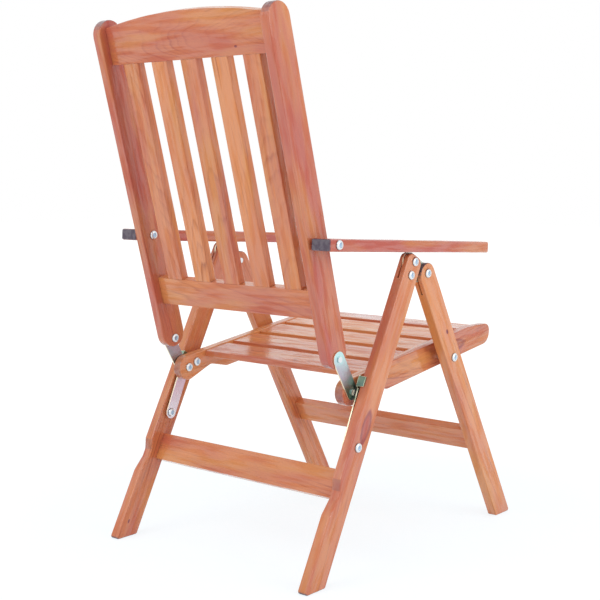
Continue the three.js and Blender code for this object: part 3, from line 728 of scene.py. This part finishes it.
def slat_tree():
    """A row of slats with rounded arrises: each starts one step on, and the last lies at its own turn."""
    tree, given = start_tree("slat_row", SLAT_INPUTS)
    node = partial(add_node, tree)

    # One slat standing on its corner, with its width along X, its thickness along Y, its length along Z
    outline = {"Width": given["Width"], "Height": given["Thickness"]}
    outline = node("GeometryNodeCurvePrimitiveQuadrilateral", outline)
    outline = node(
        "GeometryNodeFilletCurve",
        {"Curve": outline, "Radius": given["Arris round"], "Count": SLAT_ROUND_STEPS, "Limit Radius": True},
        mode="POLY",
    )
    base = node("GeometryNodeFillCurve", {"Curve": outline}, mode="NGONS")
    rise = node("ShaderNodeCombineXYZ", {"Z": given["Length"]})
    raised = node(
        "GeometryNodeExtrudeMesh", {"Mesh": base, "Offset": rise, "Offset Scale": 1.0, "Individual": False},
        mode="FACES",
    )
    base = node("GeometryNodeFlipFaces", {"Mesh": base})
    slat = node("GeometryNodeJoinGeometry", {0: [base, raised]})
    slat = node("GeometryNodeMergeByDistance", {"Geometry": slat, "Distance": MERGE_REACH})
    corner = node("ShaderNodeCombineXYZ", (
        node("ShaderNodeMath", (given[side], 0.5), operation="MULTIPLY") for side in ("Width", "Thickness")
    ))
    slat = node("GeometryNodeTransform", {"Geometry": slat, "Translation": corner})
    upright = node("ShaderNodeSeparateXYZ", (node("GeometryNodeInputNormal"),), output="Z")
    upright = node("ShaderNodeMath", (upright,), operation="ABSOLUTE")
    ends = node("ShaderNodeMath", (upright, SLAT_ENDS), operation="MULTIPLY")
    for label, kind, domain, value in (
        ("grain", "FLOAT_VECTOR", "POINT", node("GeometryNodeInputPosition")),
        ("end_grain", "FLOAT", "FACE", ends),
    ):
        slat = node(
            "GeometryNodeStoreNamedAttribute", {"Geometry": slat, "Name": label, "Value": value},
            data_type=kind, domain=domain,
        )

    # One point for each slat, which carries where the slat lay in its log, its slant, tone and redness
    index = node("GeometryNodeInputIndex")
    travel = node("ShaderNodeVectorMath", {0: given["Step"], "Scale": index}, operation="SCALE")
    here = node("ShaderNodeVectorMath", (given["Start"], travel), operation="ADD")
    points = node("GeometryNodePoints", {"Count": given["Count"], "Position": here})
    seeded = {"ID": index, "Seed": given["Seed"]}
    carried = []
    for label, low, high in LOG_DRAWS:
        drawn = node("FunctionNodeRandomValue", {0: low, 1: high, **seeded}, data_type="FLOAT_VECTOR")
        carried.append((label, "FLOAT_VECTOR", drawn))
    for label, middle, spread in TINT_DRAWS:
        drawn = {2: -spread, 3: spread, **seeded}
        drawn = node("FunctionNodeRandomValue", drawn, output=1, data_type="FLOAT")
        drawn = node("ShaderNodeMath", (drawn, given[middle]), operation="ADD")
        carried.append((label, "FLOAT", drawn))
    for label, kind, value in carried:
        points = node(
            "GeometryNodeStoreNamedAttribute", {"Geometry": points, "Name": label, "Value": value},
            data_type=kind, domain="POINT",
        )

    last = node("ShaderNodeMath", (given["Count"], 1.0), operation="SUBTRACT")
    last = node("FunctionNodeCompare", {"A": index, "B": last}, data_type="FLOAT", operation="EQUAL")
    turn = node("GeometryNodeSwitch", (last, given["Turn"], given["Last turn"]), input_type="VECTOR")
    row = node("GeometryNodeInstanceOnPoints", {"Points": points, "Instance": slat, "Rotation": turn})
    row = node("GeometryNodeRealizeInstances", {"Geometry": row})
    own, log, slant = (
        node("GeometryNodeInputNamedAttribute", {"Name": label}, data_type="FLOAT_VECTOR")
        for label in ("grain", "log_place", "log_slant")
    )
    length = node("ShaderNodeSeparateXYZ", (own,), output="Z")
    slid = node("ShaderNodeVectorMath", {0: slant, "Scale": length}, operation="SCALE")
    log_end = node("ShaderNodeVectorMath", (log, slid), operation="ADD")
    rings = node("ShaderNodeVectorMath", (own, log_end), operation="ADD")
    fibres = node("ShaderNodeVectorMath", (own, log), operation="ADD")
    for label, value in (("fibre", fibres), ("grain", rings), ("knot", FAR_FROM_KNOTS)):
        row = node(
            "GeometryNodeStoreNamedAttribute", {"Geometry": row, "Name": label, "Value": value},
            data_type="FLOAT_VECTOR", domain="POINT",
        )
    painted = node("GeometryNodeSetMaterial", {"Geometry": row, "Material": given["Material"]})
    node("NodeGroupOutput", (painted,), output=None)
    return tree


def made_by(tree, name, base, values):
    """Runs a node tree on a base mesh and keeps its result as a plain mesh."""
    carrier = bpy.data.objects.new(name + "_carrier", base)
    bpy.context.scene.collection.objects.link(carrier)
    modifier = carrier.modifiers.new("Nodes", "NODES")
    modifier.node_group = tree
    for item in tree.interface.items_tree:
        if item.in_out == "INPUT" and item.name in values:
            modifier[item.identifier] = values[item.name]
    evaluated = carrier.evaluated_get(bpy.context.evaluated_depsgraph_get())
    mesh = bpy.data.meshes.new_from_object(evaluated)
    mesh.name = name
    carrier.modifiers.remove(modifier)
    bpy.data.objects.remove(carrier)
    return mesh


def row_of(start):
    """The slats whose names start so, in order, and the boxes round them."""
    nodes = sorted(name for name in frame["nodes"] if name.startswith(start))
    return nodes, [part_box(name) for name in nodes]


def slat_row(name, nodes, values):
    """A finished row of slats in place of its solids."""
    base = bpy.data.meshes.new(name + "_base")
    mesh = made_by(slat_tree(), name, base, {
        "Count": len(nodes),
        "Arris round": bpy.context.scene.armchair_boards.slat_round,
        "Material": varnished_pine(),
        **values,
    })
    shade(mesh, ARRIS_ANGLE)
    made = object_of(name, mesh, varnished_pine())
    weigh_normals(made)
    place_piece(made, BODY_OF[nodes[0]], nodes)


def turn_of(width, through, length):
    """The Euler turn that lays a slat's width, thickness and length along these directions."""
    return tuple(Matrix((width, through, length)).transposed().to_euler())


# Steel: plates and washers as eased copies of their solids

# Facets across the eased edges of plates and washers
PLATE_ROUND_STEPS = 2
# A face narrower than this that doesn't look sideways, as a plate's broad faces do, is its cut edge
CUT_EDGE_WIDE = 0.004
BROAD_FACE = 0.9


def cut_edges(mesh):
    """Which faces are the narrow ones that run round a plate, 1 for each of them and 0 for the others.

    A strip is about as wide as twice its area over its outline.
    """
    edges = []
    for face in mesh.polygons:
        outline = sum((mesh.vertices[a].co - mesh.vertices[b].co).length for a, b in face.edge_keys)
        narrow = 2 * face.area < CUT_EDGE_WIDE * outline
        edges.append(float(narrow and abs(face.normal.x) < BROAD_FACE))
    return edges


def dress_steel(name, finish):
    """Stands a copy of a plate, washer or spacer with all its arrises eased in place of its solid."""
    mesh = frame["nodes"][name].data.copy()
    mesh.name = name + "_steel"

    def arrises(shape):
        """All the sharp edges of the piece."""
        return [e for e in shape.edges if len(e.link_faces) == 2 and e.calc_face_angle() > ARRIS_ANGLE]

    soften(mesh, arrises, bpy.context.scene.armchair_fasteners.plate_round, PLATE_ROUND_STEPS)
    heights = [vertex.co.z for vertex in mesh.vertices]
    low, high = min(heights), max(heights)
    store(mesh, "film", "FLOAT", "POINT", [(height - low) / (high - low) for height in heights])
    # Marks the narrow cut edges, which take a painted highlight
    store(mesh, "rim", "FLOAT", "FACE", cut_edges(mesh))
    made = object_of(name + "_steel", mesh, zinc_plate(finish))
    weigh_normals(made)
    place_piece(made, BODY_OF[name], [name])


# Fasteners by Geometry Nodes

# Shares of the head's height and radius, from its foot up to the rim of the recess
DOME_STEPS = ((0.3, 1.0), (0.62, 0.95), (0.86, 0.84), (0.97, 0.7), (1.0, 0.56))
# How wide the recess is at its floor, as a share of its rim
SOCKET_SHARE = 0.86
# How many sides the heads and the shanks have
HEAD_SIDES = 32
ROD_SIDES = 20

FASTENER_LENGTHS = (
    "Head radius", "Head height", "Socket depth", "Shank radius", "Tail radius", "Tail height",
)
FASTENER_INPUTS = (
    *((label, "NodeSocketFloat", None) for label in FASTENER_LENGTHS),
    ("Material", "NodeSocketMaterial", None),
)


def fastener_tree():
    """Domed heads with a recess, their shanks, and the flat heads at the far ends.

    Each point of the base mesh is a head's foot. Its attributes give which way the head looks, how far
    the shank reaches behind it and whether it ends in a flat head.
    """
    tree, given = start_tree("domed_fasteners", FASTENER_INPUTS)
    node = partial(add_node, tree)

    def raised(shape, chosen, rise, scale, marks):
        """Raises the chosen faces of a shape and scales the new top, which it also gives.

        The marks name an attribute for the top or for the sides, which is 1 there.
        """
        lift = node("ShaderNodeCombineXYZ", {"Z": rise})
        inputs = {
            "Mesh": shape, "Selection": chosen, "Offset": lift, "Offset Scale": 1.0, "Individual": False,
        }
        grown = node("GeometryNodeExtrudeMesh", inputs, output=None, mode="FACES").outputs
        inputs = {"Geometry": grown["Mesh"], "Selection": grown["Top"], "Scale": scale}
        shape = node("GeometryNodeScaleElements", inputs, domain="FACE")
        for part, label in marks.items():
            inputs = {"Geometry": shape, "Selection": grown[part], "Name": label, "Value": 1.0}
            shape = node("GeometryNodeStoreNamedAttribute", inputs, data_type="FLOAT", domain="FACE")
        return shape, grown["Top"]

    # The head grows step by step from a disc, and its top sinks back into it as the recess
    disc = node(
        "GeometryNodeMeshCircle", {"Vertices": HEAD_SIDES, "Radius": given["Head radius"]},
        fill_type="NGON",
    )
    head, chosen = disc, True
    height_before, radius_before = 0.0, 1.0
    for height, radius in DOME_STEPS:
        rise = node("ShaderNodeMath", (given["Head height"], height - height_before), operation="MULTIPLY")
        # The first step's sides are the foot of the head, which takes a painted contact shadow
        marks = {"Side": "foot"} if head is disc else {}
        head, chosen = raised(head, chosen, rise, radius / radius_before, marks)
        height_before, radius_before = height, radius
    drop = node("ShaderNodeMath", (given["Socket depth"], -1.0), operation="MULTIPLY")
    # The floor of the recess is marked for its painted shade
    head, chosen = raised(head, chosen, drop, SOCKET_SHARE, {"Top": "recess"})
    underside = node("GeometryNodeFlipFaces", {"Mesh": disc})
    both = node("GeometryNodeJoinGeometry", {0: [underside, head]})
    head = node("GeometryNodeMergeByDistance", {"Geometry": both, "Distance": MERGE_REACH})

    # Behind each head lies a rod, stretched from a length of 1 to the shank's own, and behind some of the
    # rods a flat head
    reach, side, tail = (
        node("GeometryNodeInputNamedAttribute", {"Name": label}, data_type="FLOAT")
        for label in ("reach", "side", "tail")
    )
    out = node("ShaderNodeCombineXYZ", {"X": side})
    aim = node("FunctionNodeAlignRotationToVector", {"Vector": out}, axis="Z")
    points = node("GeometryNodeMeshToPoints", {"Mesh": given["Geometry"]})
    rod = node(
        "GeometryNodeMeshCylinder", {"Vertices": ROD_SIDES, "Radius": given["Shank radius"], "Depth": 1.0},
        fill_type="NGON",
    )
    rod = node("GeometryNodeTransform", {"Geometry": rod, "Translation": (0.0, 0.0, -0.5)})
    stretch = node("ShaderNodeCombineXYZ", (1.0, 1.0, reach))
    button = node(
        "GeometryNodeMeshCylinder",
        {"Vertices": HEAD_SIDES, "Radius": given["Tail radius"], "Depth": given["Tail height"]},
        fill_type="NGON",
    )
    half = node("ShaderNodeMath", (given["Tail height"], 0.5, reach), operation="MULTIPLY_ADD")
    behind = node("ShaderNodeMath", (side, -1.0), operation="MULTIPLY")
    behind = node("ShaderNodeMath", (half, behind), operation="MULTIPLY")
    behind = node("ShaderNodeCombineXYZ", {"X": behind})
    far = node("GeometryNodeSetPosition", {"Geometry": points, "Offset": behind})
    has_tail = {"A": tail, "B": 0.5}
    has_tail = node("FunctionNodeCompare", has_tail, data_type="FLOAT", operation="GREATER_THAN")
    every = node("GeometryNodeJoinGeometry", {0: [
        node("GeometryNodeInstanceOnPoints", {"Rotation": aim, **inputs}) for inputs in (
            {"Points": points, "Instance": head},
            {"Points": points, "Instance": rod, "Scale": stretch},
            {"Points": far, "Instance": button, "Selection": has_tail},
        )
    ]})
    real = node("GeometryNodeRealizeInstances", {"Geometry": every})
    painted = node("GeometryNodeSetMaterial", {"Geometry": real, "Material": given["Material"]})
    node("NodeGroupOutput", (painted,), output=None)
    return tree


# Which fasteners have their head on the inner side, a flat head behind, a head at both ends, or none
# of these
HEAD_INSIDE = ("hinge_rivet", "post_rivet", "spacer_bolt")
FLAT_BEHIND = ("top_plate_bolt", "leg_pivot_bolt", "hinge_rivet", "post_rivet")
HEADS_AT_BOTH_ENDS = ("arm_bolt", "link_bolt")
OTHER_FASTENERS = ("seat_pivot_bolt",)


def heads_of(name, sizes):
    """The heads of one fastener: the head's foot, how far the shank reaches, its side and its tail."""
    low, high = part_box(name)
    middle = (low + high) / 2
    side = 1 if (middle.x > 0) != name.startswith(HEAD_INSIDE) else -1
    faces = (high.x - sizes.head_height, low.x + sizes.head_height)
    face, other = faces if side > 0 else faces[::-1]
    if name.startswith(HEADS_AT_BOTH_ENDS):
        half = abs(face - other) / 2
        return [
            ((face, middle.y, middle.z), half, side, 0.0),
            ((other, middle.y, middle.z), half, -side, 0.0),
        ]
    has_tail = name.startswith(FLAT_BEHIND)
    far = low.x if side > 0 else high.x
    tail = sizes.tail_height if has_tail else 0.0
    return [((face, middle.y, middle.z), abs(face - far) - tail, side, float(has_tail))]


# Operators: one for each piece or group of like pieces, and one for the stage

# The lamps look at the middle of the chair
LAMP_TARGET = Vector((0.0, 0.0, 0.5))
WHITE = (1.0, 1.0, 1.0, 1.0)
# How far from the chair the floor starts to turn white, and where it is white
FLOOR_FADE = (0.55, 1.5)


def seen_directly(tree):
    """1 for the rays of the camera and those that come back from gloss or glass, else 0."""
    ray = add_node(tree, "ShaderNodeLightPath", output=None).outputs
    seen = ray["Is Camera Ray"]
    for kind in ("Is Glossy Ray", "Is Transmission Ray"):
        seen = add_node(tree, "ShaderNodeMath", (seen, ray[kind]), operation="MAXIMUM")
    return seen


class ARMCHAIR_OT_stage(bpy.types.Operator):
    """Sets up the pale floor, the soft lights and the camera"""

    bl_idname = "armchair.stage"
    bl_label = "Stage"

    def execute(self, context):
        scene = context.scene
        stage = scene.armchair_stage
        scene.view_settings.view_transform = "Standard"
        self.add_camera(scene, stage)
        self.add_floor(scene, stage)
        self.add_sky(scene, stage)
        for name, place, power in (
            ("key_light", stage.key_place, stage.key_power),
            ("fill_light", stage.fill_place, stage.fill_power),
        ):
            data = bpy.data.lights.new(name, "AREA")
            data.energy = power
            data.size = stage.lamp_width
            lamp = bpy.data.objects.new(name, data)
            scene.collection.objects.link(lamp)
            lamp.location = place
            lamp.rotation_euler = (LAMP_TARGET - lamp.location).to_track_quat("-Z", "Y").to_euler()
        return {"FINISHED"}

    def add_camera(self, scene, stage):
        data = bpy.data.cameras.new("camera")
        data.lens = stage.focal_length
        data.sensor_width = 36.0
        data.shift_x, data.shift_y = stage.camera_shift
        camera = bpy.data.objects.new("camera", data)
        camera.location = stage.camera_place
        camera.rotation_euler = stage.camera_turn
        scene.collection.objects.link(camera)
        scene.camera = camera

    def add_floor(self, scene, stage):
        half = stage.floor_half
        mesh = bpy.data.meshes.new("floor")
        corners = [(-half, -half, 0), (half, -half, 0), (half, half, 0), (-half, half, 0)]
        mesh.from_pydata(corners, [], [(0, 1, 2, 3)])
        material = blank_material("pale_floor")
        node = partial(add_node, material.node_tree)
        colours = scene.armchair_colours
        place = node("ShaderNodeTexCoord", output="Object")
        far = node("ShaderNodeVectorMath", (place,), output="Value", operation="LENGTH")
        share = node("ShaderNodeMapRange", (far, *FLOOR_FADE), interpolation_type="SMOOTHSTEP")
        # The floor near the chair takes a faint painted shade, which fades to white farther out
        colour = {0: share, 6: tuple(colours.floor_near), 7: tuple(colours.floor_far)}
        colour = node("ShaderNodeMix", colour, output=2, data_type="RGBA")
        matt = node("ShaderNodeBsdfDiffuse", {"Color": colour})
        glow = node("ShaderNodeEmission", {"Color": colour, "Strength": stage.floor_glow})
        lit = node("ShaderNodeMapRange", {"Value": share, "To Min": 1.0 - stage.shadow_share})
        seen = node("ShaderNodeMath", (seen_directly(material.node_tree), lit), operation="MULTIPLY")
        mixed = node("ShaderNodeMixShader", (seen, matt, glow))
        node("ShaderNodeOutputMaterial", {"Surface": mixed}, output=None)
        object_of("floor", mesh, material)

    def add_sky(self, scene, stage):
        world = bpy.data.worlds.new("white_room")
        world.use_nodes = True
        tree = world.node_tree
        tree.nodes.clear()
        node = partial(add_node, tree)
        height = node("ShaderNodeTexCoord", output="Generated")
        height = node("ShaderNodeSeparateXYZ", (height,), output="Z")
        level = {"Value": height, "To Min": stage.sky_strength, "To Max": stage.zenith_strength}
        level = node("ShaderNodeMapRange", level)
        level = node("ShaderNodeMix", {0: seen_directly(tree), 2: level, 3: 1.0}, data_type="FLOAT")
        glow = node("ShaderNodeBackground", {"Color": WHITE, "Strength": level})
        node("ShaderNodeOutputWorld", {"Surface": glow}, output=None)
        scene.world = world


class ARMCHAIR_OT_legs(bpy.types.Operator):
    """Dresses the front and rear legs"""

    bl_idname = "armchair.legs"
    bl_label = "Legs"

    def execute(self, context):
        for side in SIDES:
            for kind in ("rear_leg_", "front_leg_"):
                dress_board(kind + side)
        return {"FINISHED"}


class ARMCHAIR_OT_stretchers(bpy.types.Operator):
    """Dresses the stretchers between the legs"""

    bl_idname = "armchair.stretchers"
    bl_label = "Stretchers"

    def execute(self, context):
        for name in ("rear_stretcher", "front_stretcher"):
            dress_board(name)
        return {"FINISHED"}


class ARMCHAIR_OT_back_frame(bpy.types.Operator):
    """Dresses the posts and the two rails of the back"""

    bl_idname = "armchair.back_frame"
    bl_label = "Back frame"

    def execute(self, context):
        for name in ("back_post_left", "back_post_right", "crest_rail", "lower_back_rail"):
            dress_board(name)
        return {"FINISHED"}


class ARMCHAIR_OT_back_slats(bpy.types.Operator):
    """Makes the row of upright slats in the back"""

    bl_idname = "armchair.back_slats"
    bl_label = "Back slats"

    def execute(self, context):
        nodes, boxes = row_of("back_slat_")
        normal = -mount_axis("back_front")
        up = Vector((0.0, -normal.z, normal.y))
        first_low, first_high = boxes[0]
        # The box of a leaning slat holds its length and thickness, each turned by the lean
        deep = first_high.y - first_low.y
        tall = first_high.z - first_low.z
        length, thick = turned_sides(deep, tall, up.y, up.z)
        turn = turn_of(SIDEWAYS, normal, up)
        slat_row("back_slats", nodes, {
            "Start": (first_low.x, first_low.y, first_low.z + thick * up.y),
            "Step": (boxes[1][0].x - first_low.x, 0.0, 0.0),
            "Length": length,
            "Width": first_high.x - first_low.x,
            "Thickness": thick,
            "Turn": turn,
            "Last turn": turn,
            "Darkness": 0.02,
            "Redness": -0.08,
            "Seed": 4,
        })
        return {"FINISHED"}


class ARMCHAIR_OT_seat_rails(bpy.types.Operator):
    """Dresses the two rails that carry the seat"""

    bl_idname = "armchair.seat_rails"
    bl_label = "Seat rails"

    def execute(self, context):
        for side in SIDES:
            dress_board("seat_rail_" + side)
        return {"FINISHED"}


class ARMCHAIR_OT_seat_slats(bpy.types.Operator):
    """Makes the row of slats in the seat"""

    bl_idname = "armchair.seat_slats"
    bl_label = "Seat slats"

    def execute(self, context):
        nodes, boxes = row_of("seat_slat_")
        up = mount_axis("seat_top")
        ahead = Vector((0.0, -up.z, up.y))
        low, high = boxes[0]
        wide, thick = turned_sides(high.y - low.y, high.z - low.z, up.z, up.y)
        start = Vector((low.x, high.y, high.z - wide * up.y))
        second = Vector((low.x, boxes[1][1].y, boxes[1][1].z - wide * up.y))
        # The front slat, the last of the row, lies level
        level = (Vector((0.0, -1.0, 0.0)), Vector((0.0, 0.0, -1.0)))
        slat_row("seat_slats", nodes, {
            "Start": tuple(start),
            "Step": tuple(second - start),
            "Length": high.x - low.x,
            "Width": wide,
            "Thickness": thick,
            "Turn": turn_of(ahead, -up, SIDEWAYS),
            "Last turn": turn_of(*level, SIDEWAYS),
            "Darkness": -0.2,
            "Redness": 0.0,
            "Seed": 7,
        })
        return {"FINISHED"}


class ARMCHAIR_OT_armrests(bpy.types.Operator):
    """Dresses the two armrests"""

    bl_idname = "armchair.armrests"
    bl_label = "Armrests"

    def execute(self, context):
        for side in SIDES:
            dress_board("armrest_" + side)
        return {"FINISHED"}


class ARMCHAIR_OT_straps(bpy.types.Operator):
    """Makes the top plates, hinge plates and link bars"""

    bl_idname = "armchair.straps"
    bl_label = "Plates and link bars"

    def execute(self, context):
        for side in SIDES:
            for kind, finish in (
                ("top_plate_", "grey_zinc_plate"),
                ("hinge_plate_", "green_zinc_plate"),
                ("link_bar_", "lilac_zinc_plate"),
            ):
                dress_steel(kind + side, finish)
        return {"FINISHED"}


class ARMCHAIR_OT_washers(bpy.types.Operator):
    """Makes the washers, spacers and barrel nuts on the pivots"""

    bl_idname = "armchair.washers"
    bl_label = "Washers and spacers"

    def execute(self, context):
        for side in SIDES:
            for kind in ("link_washer_", "seat_pivot_washer_", "arm_washer_", "spacer_", "spacer_nut_"):
                dress_steel(kind + side, "zinc_plated_steel")
        return {"FINISHED"}


class ARMCHAIR_OT_fasteners(bpy.types.Operator):
    """Makes the domed bolts and rivets, one mesh for each body"""

    bl_idname = "armchair.fasteners"
    bl_label = "Bolts and rivets"

    def execute(self, context):
        sizes = context.scene.armchair_fasteners
        kinds = HEAD_INSIDE + FLAT_BEHIND + HEADS_AT_BOTH_ENDS + OTHER_FASTENERS
        nodes = sorted(name for name in frame["nodes"] if name.startswith(kinds))
        lengths = {label: getattr(sizes, label.lower().replace(" ", "_")) for label in FASTENER_LENGTHS}
        tree = fastener_tree()
        for body in sorted({BODY_OF[name] for name in nodes}):
            held = [name for name in nodes if BODY_OF[name] == body]
            places, reaches, sides, tails = zip(*(head for name in held for head in heads_of(name, sizes)))
            base = bpy.data.meshes.new("fastener_places")
            base.from_pydata(places, [], [])
            for label, values in (("reach", reaches), ("side", sides), ("tail", tails)):
                store(base, label, "FLOAT", "POINT", values)
            name = "fasteners_" + body
            mesh = made_by(tree, name, base, {**lengths, "Material": zinc_plate("zinc_plated_steel")})
            shape = bmesh.new()
            shape.from_mesh(mesh)
            bmesh.ops.recalc_face_normals(shape, faces=shape.faces)
            shape.to_mesh(mesh)
            shape.free()
            shade(mesh, SMOOTH_ANGLE)
            made = object_of(name, mesh, zinc_plate("zinc_plated_steel"))
            place_piece(made, body, held)
        return {"FINISHED"}


OPERATORS = (
    ARMCHAIR_OT_stage,
    ARMCHAIR_OT_legs,
    ARMCHAIR_OT_stretchers,
    ARMCHAIR_OT_seat_rails,
    ARMCHAIR_OT_seat_slats,
    ARMCHAIR_OT_back_frame,
    ARMCHAIR_OT_back_slats,
    ARMCHAIR_OT_armrests,
    ARMCHAIR_OT_straps,
    ARMCHAIR_OT_washers,
    ARMCHAIR_OT_fasteners,
)


class ARMCHAIR_PT_panel(bpy.types.Panel):
    """Lists the steps that dress the armchair"""

    bl_idname = "ARMCHAIR_PT_panel"
    bl_label = "Folding slatted armchair"
    bl_space_type = "VIEW_3D"
    bl_region_type = "UI"
    bl_category = "Armchair"

    def draw(self, context):
        column = self.layout.column()
        for operator in OPERATORS:
            column.operator(operator.bl_idname)


GROUPS = (
    (ArmchairBoardSizes, "armchair_boards"),
    (ArmchairFastenerSizes, "armchair_fasteners"),
    (ArmchairColours, "armchair_colours"),
    (ArmchairStage, "armchair_stage"),
)


def register():
    for group, name in GROUPS:
        bpy.utils.register_class(group)
        setattr(bpy.types.Scene, name, PointerProperty(type=group))
    for operator in OPERATORS:
        bpy.utils.register_class(operator)
    bpy.utils.register_class(ARMCHAIR_PT_panel)


def unregister():
    bpy.utils.unregister_class(ARMCHAIR_PT_panel)
    for operator in reversed(OPERATORS):
        bpy.utils.unregister_class(operator)
    for group, name in reversed(GROUPS):
        delattr(bpy.types.Scene, name)
        bpy.utils.unregister_class(group)


def main():
    """Dresses the chair step by step."""
    register()
    for operator in OPERATORS:
        group, name = operator.bl_idname.split(".")
        getattr(getattr(bpy.ops, group), name)()


if __name__ == "__main__":
    main()
